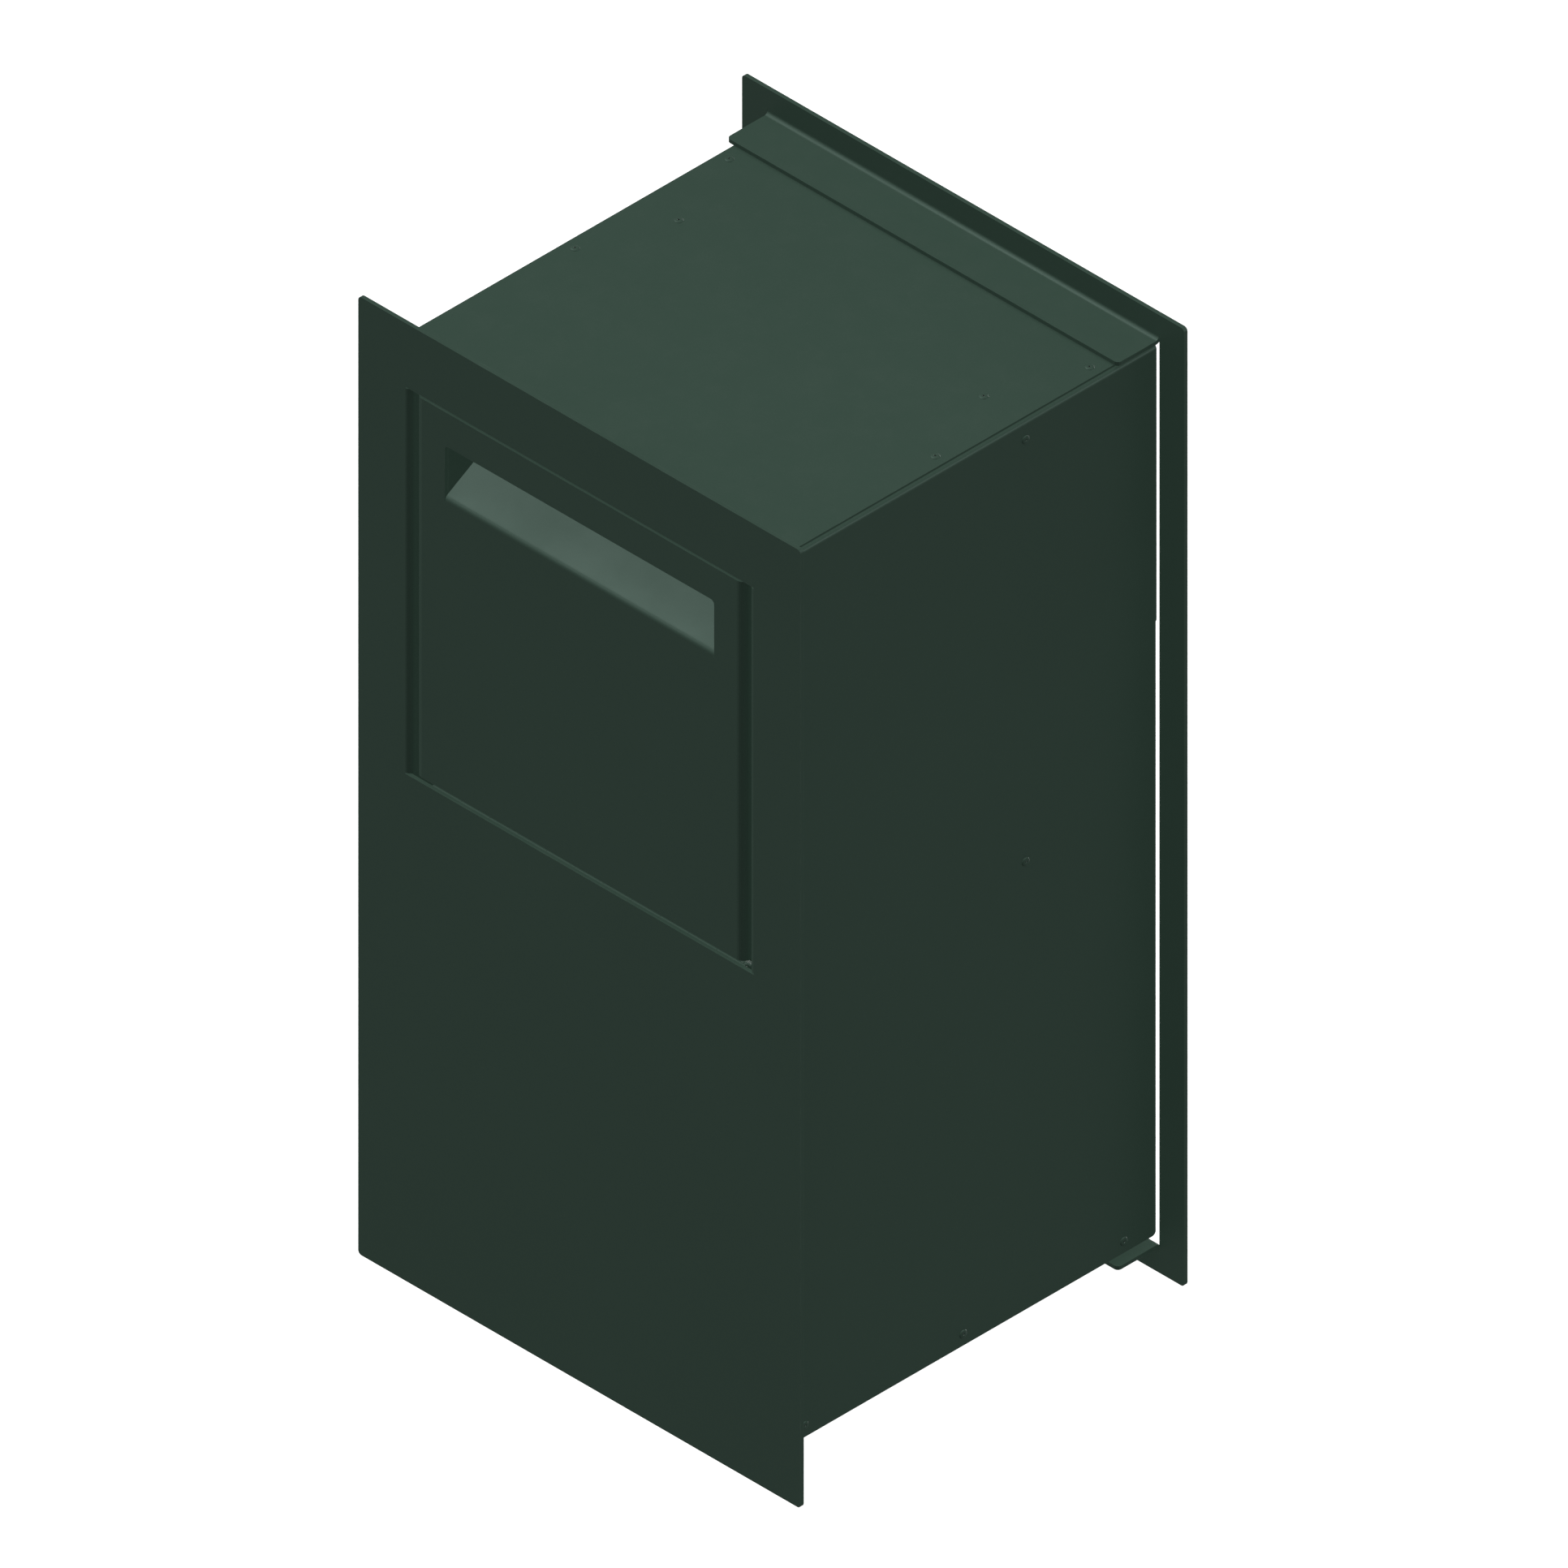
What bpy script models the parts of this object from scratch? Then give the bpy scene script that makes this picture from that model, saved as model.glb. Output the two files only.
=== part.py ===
"""Through-wall parcel drop box: front hopper door with a letter slot, welded and riveted sheet
body, rear access door with a cam lock, and a rear trim frame that slides to suit the wall.

Dimensions are in millimetres, and MM turns them into the scene's metres. +X is the box's
right-hand side seen from the street, -Y its front, +Z up, and the origin is the centre of the
underside of the overall box.
"""
import math

import bmesh
import bpy
from mathutils import Matrix, Vector

MM = 0.001

# Overall size
WIDTH = 406.4
HEIGHT = 762.0
DEPTH = 355.6
PLATE = 3.04           # 11 gauge sheet: front plate, hopper door, rear trim
SHEET = 1.52           # 16 gauge sheet: everything else
LEAF = 1.1             # hinge strap
GAP = 0.3              # between pieces that lie against each other
CORNER = 3.0           # rounding of cut sheet corners

FRONT = -DEPTH / 2
REAR = DEPTH / 2
PLATE_REAR = FRONT + PLATE
TRIM_FRONT = REAR - PLATE

# Opening in the front plate, and the hopper door that fills it
OPENING_HALF = 155.6
OPENING_LOW = 403.4
OPENING_HIGH = 711.2
OPENING_BEND = 4.5     # outer radius of the returns down both sides
RETURN_DEPTH = 14.5
NOTCH = 1.0            # corner relief beside a bent edge
DOOR_HALF = 150.8
DOOR_LOW = 407.85
DOOR_HIGH = 709.4
DOOR_BEND = 6.2
DOOR_FLANGE = 12.0
HOPPER_PIVOT = (-168.3, 395.0)     # y, z
HEADER_HALF = 140.0    # strip behind the opening's top edge
HEADER_LOW = 700.0
HEADER_HIGH = 730.0

# Letter slot in the hopper door
SLOT_HALF = 123.8
SLOT_LOW = 638.6
SLOT_HIGH = 682.65
SLOT_CORNER = 3.2
LIP_BEND = 4.8
LIP_TURN = 60.0
LIP_LENGTH = 38.0
SLOT_END_LOW = 630.0   # gussets that close the slot's ends
SLOT_END_HIGH = 690.0
SLOT_END_REAR = -137.0

# Hopper tray and cheeks, about the pivot: s runs down the tray, n stands square to it
TRAY_SLOPE = 30.0
TRAY_HALF = 145.0
TRAY_LENGTH = 200.0
TRAY_HIGH_N = 12.5
TRAY_LOW_N = 3.4
JOGGLE_S = (5.0, 10.0)
CHEEK_RADIUS = 296.0
CHEEK_FRONT = -4.0
CHEEK_LAST = 50.0      # degrees above level where the cheek's arc ends
TRAY_UPSTAND = 44.0    # flange up the back of the door
TRAY_LIP = 11.0
STOP_X = 129.0         # tray stops on the baffle
STOP_WIDTH = 22.0
STOP_HEIGHT = 24.0
STOP_REACH = 42.0
STOP_UNDER = 457.9
BUMPER_RADIUS = 6.5
BUMPER_HEIGHT = 8.0

# Body shell
BODY_HALF = 177.8
BODY_LOW = 29.8
BODY_HIGH = 735.9
BODY_REAR = 173.9
BODY_BEND = 2.6
SIDE_FLANGE = 22.0
TOP_HALF = 174.6
BACK_HALF = 176.8
BACK_LOW = 515.0
SILL_LOW = 34.0
SILL_HIGH = 49.0
BAFFLE_FRONT = 42.0
BAFFLE_LOW = 370.0
BAFFLE_FLANGE = 24.0
PAN_LEG = 13.0         # straight part of the bottom pan's upturned flanges
FRONT_LEG = 14.0       # straight part of the sides' front flanges
SILL_SHELF = 22.0

# Rear access door and its cam lock
REAR_DOOR_LOW = 50.5
REAR_DOOR_HIGH = 513.5
REAR_PIVOT = (-172.88, 174.6)      # x, y
REAR_DOOR_SKIN = 172.9             # y of the door's inner face
LOCK = (150.0, 282.0)              # x, z
CAM_REACH = 22.0
HOUSING_RADIUS = 8.0
HOUSING_INNER = 5.3
HOUSING_END = 159.0
BEZEL_RADIUS = 10.5
BEZEL_PROUD = 1.7
LOCK_HOLE = 8.4
NUT_RADIUS = 12.0
NUT_THICK = 4.0
PLUG_RADIUS = 5.0
PLUG_END = 156.2
CAM_RADIUS = 7.0
CAM_THICK = 2.0
STRIKE_REAR = 158.5
STRIKE_EDGE = 160.0    # x of the strike's free edge
STRIKE_HEIGHT = 40.0
DOOR_LEG = 6.0         # straight part of the rear door's flanges

# Rear trim frame
TRIM_HALF = 180.2
TRIM_LOW = 22.9
TRIM_HIGH = 739.1
TRIM_BEND = 2.8        # inner radius
TAB_FRONT = 137.2
TAB_RELIEF = 0.5

# Continuous hinges
KNUCKLE_IN = 2.0
KNUCKLE_OUT = KNUCKLE_IN + LEAF
PIN_RADIUS = 1.75
CURL = 290.0           # degrees that a strap wraps round its pin
STRAP = 26.0           # leaf width from the pin's axis
FRONT_HINGE_HALF = 143.5
REAR_HINGE = (62.0, 502.0)
PACKING_HEIGHT = 30.0

# Blind rivets
HEAD_RADIUS = 3.3
HEAD_HEIGHT = 0.9
SHANK_RADIUS = 1.5
DRILL_RADIUS = 1.75
GRIP = 2 * SHEET + GAP

EVERGREEN = (0.0235, 0.0382, 0.0296)
BARE_STEEL = (0.16, 0.165, 0.16)
FINISHES = {
    "powder_coat": (EVERGREEN, 0.55, 0.0),
    "hinge_steel": (BARE_STEEL, 0.35, 0.9),
    "pin_steel": (BARE_STEEL, 0.3, 1.0),
    "lock_chrome": ((0.55, 0.55, 0.56), 0.2, 1.0),
    "zinc": ((0.42, 0.42, 0.40), 0.4, 1.0),
    "rubber": ((0.012, 0.012, 0.012), 0.8, 0.0),
}


# ---------------------------------------------------------------- helpers

def clear_scene():
    for obj in list(bpy.data.objects):
        bpy.data.objects.remove(obj, do_unlink=True)


def finish_material(finish, name):
    """A Principled material of the piece's own, in one of the finishes above."""
    colour, roughness, metallic = FINISHES[finish]
    made = bpy.data.materials.new(name + "_" + finish)
    made.use_nodes = True
    shader = made.node_tree.nodes["Principled BSDF"]
    shader.inputs["Base Color"].default_value = (*colour, 1.0)
    shader.inputs["Roughness"].default_value = roughness
    shader.inputs["Metallic"].default_value = metallic
    return made


def pivot(name, place, parent=None):
    """An empty on a joint's axis, which the pieces of one moving body hang from."""
    empty = bpy.data.objects.new(name, None)
    empty.empty_display_size = 0.03
    world = Vector(place) * MM
    empty["world"] = world
    if parent:
        empty.parent = parent
        world = world - Vector(parent["world"])
    empty.location = world
    bpy.context.collection.objects.link(empty)
    return empty


def piece(bm, name, finish, parent=None):
    """Turns a mesh drawn in millimetres at its place into an object on its pivot."""
    bmesh.ops.remove_doubles(bm, verts=bm.verts, dist=1e-4)
    bmesh.ops.recalc_face_normals(bm, faces=bm.faces)
    bm.transform(Matrix.Scale(MM, 4))
    if parent:
        bm.transform(Matrix.Translation(-Vector(parent["world"])))
    mesh = bpy.data.meshes.new(name)
    bm.to_mesh(mesh)
    bm.free()
    mesh.shade_smooth()
    mesh.set_sharp_from_angle(angle=math.radians(30))
    obj = bpy.data.objects.new(name, mesh)
    obj.parent = parent
    obj.data.materials.append(finish_material(finish, name))
    bpy.context.collection.objects.link(obj)
    return obj


def rounded_rectangle(x0, x1, y0, y1, radius, steps=5):
    """A rectangle's outline, counter-clockwise, with its corners on arcs."""
    loop = []
    for cx, cy, start in ((x1 - radius, y1 - radius, 0), (x0 + radius, y1 - radius, 90),
                          (x0 + radius, y0 + radius, 180), (x1 - radius, y0 + radius, 270)):
        for k in range(steps + 1):
            a = math.radians(start + 90 * k / steps)
            loop.append((cx + radius * math.cos(a), cy + radius * math.sin(a)))
    return loop


def on_xz(y):
    return lambda x, z: Vector((x, y, z))


def on_yz(x):
    return lambda y, z: Vector((x, y, z))


def on_xy(z):
    return lambda x, y: Vector((x, y, z))


def plate(outline, place, thickness, openings=()):
    """A flat sheet from a closed outline, with openings, thickened along a vector."""
    bm = bmesh.new()
    for loop in (outline, *openings):
        verts = [bm.verts.new(place(a, b)) for a, b in loop]
        for here, after in zip(verts, verts[1:] + verts[:1]):
            bm.edges.new((here, after))
    if openings:
        bmesh.ops.triangle_fill(bm, use_beauty=True, edges=bm.edges[:])
    else:
        bm.faces.new(bm.verts[:])
    grown = bmesh.ops.extrude_face_region(bm, geom=bm.faces[:])["geom"]
    moved = [item for item in grown if isinstance(item, bmesh.types.BMVert)]
    bmesh.ops.translate(bm, verts=moved, vec=Vector(thickness))
    bmesh.ops.recalc_face_normals(bm, faces=bm.faces)
    return bm


def fold(bm, at, centre, axis, turn, leg, steps=6):
    """Bends the edge face at a place about the bend's axis, then runs it on straight."""
    at, centre = Vector(at), Vector(centre)
    face = min(bm.faces, key=lambda f: (f.calc_center_median() - at).length)
    step = Matrix.Rotation(math.radians(turn) / steps, 3, Vector(axis))
    for _ in range(steps):
        face = bmesh.ops.extrude_discrete_faces(bm, faces=[face])["faces"][0]
        bmesh.ops.rotate(bm, verts=face.verts, cent=centre, matrix=step)
    if leg:
        face.normal_update()
        ahead = face.normal * leg
        face = bmesh.ops.extrude_discrete_faces(bm, faces=[face])["faces"][0]
        bmesh.ops.translate(bm, verts=face.verts, vec=ahead)
    return face


def rounded_path(points, radii, steps=6):
    """A polyline whose inner corners turn on arcs of the given radii."""
    path = [Vector(points[0])]
    for before, corner, after, radius in zip(points, points[1:], points[2:], radii):
        corner = Vector(corner)
        back = (Vector(before) - corner).normalized()
        on = (Vector(after) - corner).normalized()
        half = back.angle(on) / 2
        centre = corner + (back + on).normalized() * (radius / math.sin(half))
        start = corner + back * (radius / math.tan(half)) - centre
        end = corner + on * (radius / math.tan(half)) - centre
        sweep = start.angle_signed(end)
        for k in range(steps + 1):
            a = -sweep * k / steps
            path.append(centre + Matrix.Rotation(a, 2) @ start)
    path.append(Vector(points[-1]))
    return path


def bent_sheet(points, radii, thickness, place, width):
    """A folded sheet: one face's line with bend radii, thickened to its left, then widened."""
    face = rounded_path(points, radii)
    sides = []
    for i, here in enumerate(face):
        ahead = (face[min(i + 1, len(face) - 1)] - face[min(i, len(face) - 2)]).normalized()
        behind = (face[max(i, 1)] - face[max(i - 1, 0)]).normalized()
        mean = (ahead + behind).normalized()
        reach = thickness / max(mean.dot(ahead), 0.2)
        sides.append(here + Vector((-mean.y, mean.x)) * reach)
    return plate([tuple(p) for p in face + sides[::-1]], place, width)


def lathe(profile, origin, axis, segments):
    """A solid of revolution from (radius, height) points; radius 0 closes at a pole."""
    axis = Vector(axis).normalized()
    side = axis.orthogonal().normalized()
    other = axis.cross(side)
    bm = bmesh.new()
    rings = []
    for radius, height in profile:
        middle = Vector(origin) + axis * height
        if radius == 0:
            rings.append([bm.verts.new(middle)])
            continue
        angles = [2 * math.pi * k / segments for k in range(segments)]
        rings.append([bm.verts.new(middle + radius * (side * math.cos(a) + other * math.sin(a)))
                      for a in angles])
    closed = profile[0][0] > 0
    pairs = zip(rings, rings[1:] + rings[:1]) if closed else zip(rings, rings[1:])
    for low, high in pairs:
        for k in range(segments):
            corners = [low[k % len(low)], low[(k + 1) % segments % len(low)],
                       high[(k + 1) % segments % len(high)], high[k % len(high)]]
            bm.faces.new(list(dict.fromkeys(corners)))
    bmesh.ops.recalc_face_normals(bm, faces=bm.faces)
    return bm


def rod(radius, start, end, segments, chamfer=0.3):
    """A round bar between two points with small end chamfers."""
    start, end = Vector(start), Vector(end)
    long = (end - start).length
    profile = [(0, 0), (radius - chamfer, 0), (radius, chamfer), (radius, long - chamfer),
               (radius - chamfer, long), (0, long)]
    return lathe(profile, start, end - start, segments)


def circle(cx, cy, radius, segments=12):
    turns = [2 * math.pi * k / segments for k in range(segments)]
    return [(cx + radius * math.cos(a), cy + radius * math.sin(a)) for a in turns]


def subtract(obj, cutter):
    cut = obj.modifiers.new("cut_" + cutter.name, "BOOLEAN")
    cut.operation = "DIFFERENCE"
    cut.solver = "EXACT"
    cut.object = cutter


def merge(meshes):
    """One mesh from several, for cutters."""
    whole = bmesh.new()
    for bm in meshes:
        mesh = bpy.data.meshes.new("merged")
        bm.to_mesh(mesh)
        bm.free()
        whole.from_mesh(mesh)
        bpy.data.meshes.remove(mesh)
    return whole


# ---------------------------------------------------------------- front plate and hopper

def front_face_plate():
    """The street-side plate; both sides of its opening are bent inwards."""
    flat = OPENING_HALF + OPENING_BEND
    low, high = OPENING_LOW, OPENING_HIGH
    opening = [(flat, low), (flat, low + NOTCH), (flat, high - NOTCH), (flat, high),
               (-flat, high), (-flat, high - NOTCH), (-flat, low + NOTCH), (-flat, low)]
    outline = rounded_rectangle(-WIDTH / 2, WIDTH / 2, 0, HEIGHT, CORNER)
    bm = plate(outline, on_xz(FRONT), (0, PLATE, 0), [opening])
    for side in (1, -1):
        at = (side * flat, FRONT + PLATE / 2, (low + high) / 2)
        centre = (side * flat, FRONT + OPENING_BEND, 0)
        fold(bm, at, centre, (0, 0, side), -90, RETURN_DEPTH)
    return piece(bm, "front_face_plate", "powder_coat")


def hopper_door_panel(hopper):
    """Door skin, its sides bent inwards, with the letter slot and its inward-rising lip."""
    half = DOOR_HALF - DOOR_BEND
    lip = SLOT_HALF - TAB_RELIEF
    below = SLOT_LOW - NOTCH
    slot = [(-SLOT_HALF, below), (-lip, below), (-lip, SLOT_LOW), (lip, SLOT_LOW),
            (lip, below), (SLOT_HALF, below)]
    top = rounded_rectangle(-SLOT_HALF, SLOT_HALF, SLOT_LOW, SLOT_HIGH, SLOT_CORNER)
    slot += top[:len(top) // 2]
    outline = [(-half, DOOR_LOW), (half, DOOR_LOW), (half, DOOR_HIGH), (-half, DOOR_HIGH)]
    bm = plate(outline, on_xz(FRONT), (0, PLATE, 0), [slot])
    middle = FRONT + PLATE / 2
    for side in (1, -1):
        at = (side * half, middle, (DOOR_LOW + DOOR_HIGH) / 2)
        fold(bm, at, (side * half, FRONT + DOOR_BEND, 0), (0, 0, side), 90, DOOR_FLANGE)
    centre = (0, FRONT + LIP_BEND, SLOT_LOW)
    fold(bm, (0, middle, SLOT_LOW), centre, (1, 0, 0), -LIP_TURN, LIP_LENGTH)
    return piece(bm, "hopper_door_panel", "powder_coat", hopper)


def slot_end(side, hopper):
    """Gusset that closes one end of the letter slot behind the door skin."""
    front = PLATE_REAR + GAP
    rear = SLOT_END_REAR
    outline = [(front, SLOT_END_LOW), (front, SLOT_END_HIGH), (rear - 9, SLOT_END_HIGH),
               (rear, SLOT_END_HIGH - 22), (rear, SLOT_END_LOW + 26)]
    bm = plate(outline, on_yz(side * SLOT_HALF), (side * SHEET, 0, 0))
    return piece(bm, "slot_end_left" if side < 0 else "slot_end_right", "powder_coat", hopper)


def tray_point(s, n):
    """World y and z of a place s down the tray's slope and n square to it."""
    slope = math.radians(TRAY_SLOPE)
    y = s * math.cos(slope) + n * math.sin(slope)
    z = -s * math.sin(slope) + n * math.cos(slope)
    return HOPPER_PIVOT[0] + y, HOPPER_PIVOT[1] + z


def tray_heel():
    """Where the tray's high run meets the back of the door."""
    slope = math.radians(TRAY_SLOPE)
    y = PLATE_REAR + GAP - HOPPER_PIVOT[0]
    s = (y - TRAY_HIGH_N * math.sin(slope)) / math.cos(slope)
    return tray_point(s, TRAY_HIGH_N)


def hopper_tray(hopper):
    """The tray that a parcel rests on: up the door's back, over the hinge, then down inwards."""
    heel = tray_heel()
    path = [(heel[0], heel[1] + TRAY_UPSTAND), heel, tray_point(JOGGLE_S[0], TRAY_HIGH_N),
            tray_point(JOGGLE_S[1], TRAY_LOW_N), tray_point(TRAY_LENGTH, TRAY_LOW_N),
            tray_point(TRAY_LENGTH, TRAY_LOW_N - TRAY_LIP)]
    bm = bent_sheet(path, [2.0, 3.4, 2.0, 3.0], SHEET, on_yz(-TRAY_HALF), (2 * TRAY_HALF, 0, 0))
    return piece(bm, "hopper_tray", "powder_coat", hopper)


def hopper_cheek(side, hopper):
    """Side plate of the hopper: it stops a parcel, or a hand, slipping past the tray."""
    y0, z0 = HOPPER_PIVOT
    slope = math.radians(TRAY_SLOPE)
    s = (CHEEK_FRONT - TRAY_HIGH_N * math.sin(slope)) / math.cos(slope)
    first = 90 - math.degrees(math.asin(CHEEK_FRONT / CHEEK_RADIUS))
    steps = 10
    arc = [math.radians(first + (CHEEK_LAST - first) * k / steps) for k in range(steps + 1)]
    outline = [tray_point(s, TRAY_HIGH_N)]
    outline += [(y0 + CHEEK_RADIUS * math.cos(a), z0 + CHEEK_RADIUS * math.sin(a)) for a in arc]
    outline += [tray_point(TRAY_LENGTH, TRAY_LOW_N), tray_point(JOGGLE_S[1] + 1, TRAY_LOW_N),
                tray_point(JOGGLE_S[0] + 1, TRAY_HIGH_N)]
    outer = DOOR_HALF - PLATE - GAP
    bm = plate(outline, on_yz(side * outer), (-side * SHEET, 0, 0))
    name = "hopper_left_cheek" if side < 0 else "hopper_right_cheek"
    return piece(bm, name, "powder_coat", hopper)


# ---------------------------------------------------------------- hinges

def hinge_leaf(origin, along, square, run, knuckles, strap, steps=14):
    """A leaf with curled knuckles. `along` leads away from the pin, `square` stands off it,
    and the pin's axis is along x square. `run` is the leaf's start and end on that axis."""
    origin, along, square = Vector(origin), Vector(along), Vector(square)
    axis = along.cross(square)
    clear = KNUCKLE_OUT + 0.9
    low, high = run
    edges = sorted({low, high, *[v for pair in knuckles for v in pair]})
    outline = [(clear, a) for a in edges] + [(strap, high), (strap, low)]
    bm = plate(outline, lambda s, a: origin + along * s + square * KNUCKLE_IN + axis * a,
               square * LEAF)
    for start, end in knuckles:
        middle = origin + axis * (start + end) / 2 + square * (KNUCKLE_IN + LEAF / 2)
        at = middle + along * clear
        face = min(bm.faces, key=lambda f: (f.calc_center_median() - at).length)
        face = bmesh.ops.extrude_discrete_faces(bm, faces=[face])["faces"][0]
        bmesh.ops.translate(bm, verts=face.verts, vec=-along * clear)
        fold(bm, middle, origin, axis, CURL, 0, steps)
    return bm


def knuckle_spans(low, high, count, first):
    """Every second knuckle's start and end, with play between neighbours."""
    pitch = (high - low) / count
    return [(low + pitch * k + GAP / 2, low + pitch * (k + 1) - GAP / 2)
            for k in range(first, count, 2)]


def front_hinge(hopper):
    """Continuous hinge under the hopper door, with a packing bar behind the front plate."""
    half = FRONT_HINGE_HALF
    origin = (0, *HOPPER_PIVOT)
    slope = math.radians(TRAY_SLOPE)
    down_tray = Vector((0, math.cos(slope), -math.sin(slope)))
    off_tray = Vector((0, math.sin(slope), math.cos(slope)))
    down, forward = Vector((0, 0, -1)), Vector((0, -1, 0))
    fixed = hinge_leaf(origin, down, forward, (-half, half),
                       knuckle_spans(-half, half, 11, 0), STRAP)
    piece(fixed, "front_hinge_fixed_leaf", "hinge_steel")
    moving = hinge_leaf(origin, down_tray, off_tray, (-half, half),
                        knuckle_spans(-half, half, 11, 1), STRAP)
    piece(moving, "front_hinge_moving_leaf", "hinge_steel", hopper)
    y, z = HOPPER_PIVOT
    piece(rod(PIN_RADIUS, (-half, y, z), (half, y, z), 16), "front_hinge_pin", "pin_steel")
    bar_front = PLATE_REAR + GAP
    bar_rear = y - KNUCKLE_OUT - GAP
    foot, head = z - PACKING_HEIGHT, z + 1
    outline = [(-half, foot), (half, foot), (half, head), (-half, head)]
    bm = plate(outline, on_xz(bar_front), (0, bar_rear - bar_front, 0))
    piece(bm, "hinge_packing_bar", "powder_coat")


def rear_hinge(rear_door):
    """Continuous hinge up the left edge of the rear door, with its pin."""
    low, high = REAR_HINGE
    x, y = REAR_PIVOT
    forward, left, right = Vector((0, -1, 0)), Vector((-1, 0, 0)), Vector((1, 0, 0))
    fixed = hinge_leaf((x, y, 0), forward, left, (-high, -low),
                       knuckle_spans(-high, -low, 9, 0), STRAP)
    piece(fixed, "rear_hinge_fixed_leaf", "hinge_steel")
    moving = hinge_leaf((x, y, 0), right, forward, (-high, -low),
                        knuckle_spans(-high, -low, 9, 1), STRAP)
    piece(moving, "rear_hinge_moving_leaf", "hinge_steel", rear_door)
    piece(rod(PIN_RADIUS, (x, y, low), (x, y, high), 16), "rear_hinge_pin", "pin_steel")


# ---------------------------------------------------------------- body shell

def side_panel(side):
    """Body side: flanged in at the top under the lid and at the front behind the face plate."""
    flat_high = BODY_HIGH - BODY_BEND
    front = PLATE_REAR + GAP
    flat_front = front + BODY_BEND
    relief = 4.0
    r = CORNER
    corner = [(BODY_REAR - r + r * math.cos(a), BODY_LOW + r + r * math.sin(a))
              for a in (math.radians(-90 + 30 * k) for k in range(4))]
    outline = [(flat_front, BODY_LOW)] + corner
    outline += [(BODY_REAR, flat_high), (flat_front + relief, flat_high),
                (flat_front + relief, flat_high - relief), (flat_front, flat_high - relief)]
    outer = side * BODY_HALF
    bm = plate(outline, on_yz(outer), (-side * SHEET, 0, 0))
    centre_x = outer - side * BODY_BEND
    mid_x = outer - side * SHEET / 2
    top_at = (mid_x, (BODY_REAR + flat_front + relief) / 2, flat_high)
    fold(bm, top_at, (centre_x, 0, flat_high), (0, side, 0), -90, SIDE_FLANGE)
    front_at = (mid_x, flat_front, (BODY_LOW + flat_high - relief) / 2)
    fold(bm, front_at, (centre_x, flat_front, 0), (0, 0, side), -90, FRONT_LEG)
    return piece(bm, "left_side_panel" if side < 0 else "right_side_panel", "powder_coat")


def top_panel():
    """Lid sheet, riveted down on the side panels' top flanges."""
    front = PLATE_REAR + GAP
    outline = [(-TOP_HALF, front), (TOP_HALF, front), (TOP_HALF, BODY_REAR), (-TOP_HALF, BODY_REAR)]
    bm = plate(outline, on_xy(BODY_HIGH + GAP), (0, 0, SHEET))
    return piece(bm, "top_panel", "powder_coat")


def bottom_pan():
    """Floor of the bin with four upturned flanges; the side ones take the rivets."""
    half = BODY_HALF - SHEET - GAP
    front = PLATE_REAR + 2 * GAP + SHEET
    rear = BODY_REAR - GAP
    z = BODY_LOW + GAP
    bend, flange, notch = BODY_BEND, PAN_LEG, CORNER
    x1, y0, y1 = half - bend, front + bend, rear - bend
    outline = [(-x1 + notch, y0), (x1 - notch, y0), (x1 - notch, y0 + notch), (x1, y0 + notch),
               (x1, y1 - notch), (x1 - notch, y1 - notch), (x1 - notch, y1),
               (-x1 + notch, y1), (-x1 + notch, y1 - notch), (-x1, y1 - notch),
               (-x1, y0 + notch), (-x1 + notch, y0 + notch)]
    bm = plate(outline, on_xy(z), (0, 0, SHEET))
    mid = z + SHEET / 2
    centre_z = z + bend
    for side in (1, -1):
        fold(bm, (side * x1, (y0 + y1) / 2, mid), (side * x1, 0, centre_z),
             (0, side, 0), -90, flange)
    fold(bm, (0, y0, mid), (0, y0, centre_z), (1, 0, 0), -90, flange)
    fold(bm, (0, y1, mid), (0, y1, centre_z), (1, 0, 0), 90, flange)
    return piece(bm, "bottom_pan", "powder_coat")


def upper_back_panel():
    """Fixed sheet across the rear above the access door."""
    y = BODY_REAR + GAP
    outline = rounded_rectangle(-BACK_HALF, BACK_HALF, BACK_LOW, BODY_HIGH, CORNER)
    return piece(plate(outline, on_xz(y), (0, SHEET, 0)), "upper_back_panel", "powder_coat")


def rear_sill():
    """Angle across the rear under the access door."""
    y = BODY_REAR + GAP + SHEET
    path = [(y, SILL_LOW), (y, SILL_HIGH), (y - SILL_SHELF, SILL_HIGH)]
    half = BACK_HALF - SHEET - 2 * GAP
    bm = bent_sheet(path, [BODY_BEND], SHEET, on_yz(-half), (2 * half, 0, 0))
    return piece(bm, "rear_sill", "powder_coat")


def interior_baffle():
    """Anti-theft wall behind the hopper, flanged back at the top and both sides."""
    half = BODY_HALF - SHEET - GAP
    high = BODY_HIGH
    side_high = BODY_HIGH - SHEET - 2.0
    bend = BODY_BEND
    x1 = half - bend
    top_half = BODY_HALF - BODY_BEND - SIDE_FLANGE - 2.0
    outline = [(-x1, BAFFLE_LOW), (x1, BAFFLE_LOW), (x1, side_high), (top_half, side_high),
               (top_half, high - bend), (-top_half, high - bend), (-top_half, side_high),
               (-x1, side_high)]
    bm = plate(outline, on_xz(BAFFLE_FRONT), (0, SHEET, 0))
    mid = BAFFLE_FRONT + SHEET / 2
    centre_y = BAFFLE_FRONT + bend
    leg = BAFFLE_FLANGE - bend
    for side in (1, -1):
        fold(bm, (side * x1, mid, (BAFFLE_LOW + side_high) / 2), (side * x1, centre_y, 0),
             (0, 0, side), 90, leg)
    fold(bm, (0, mid, high - bend), (0, centre_y, high - bend), (1, 0, 0), -90, leg)
    return piece(bm, "interior_baffle", "powder_coat")


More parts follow.
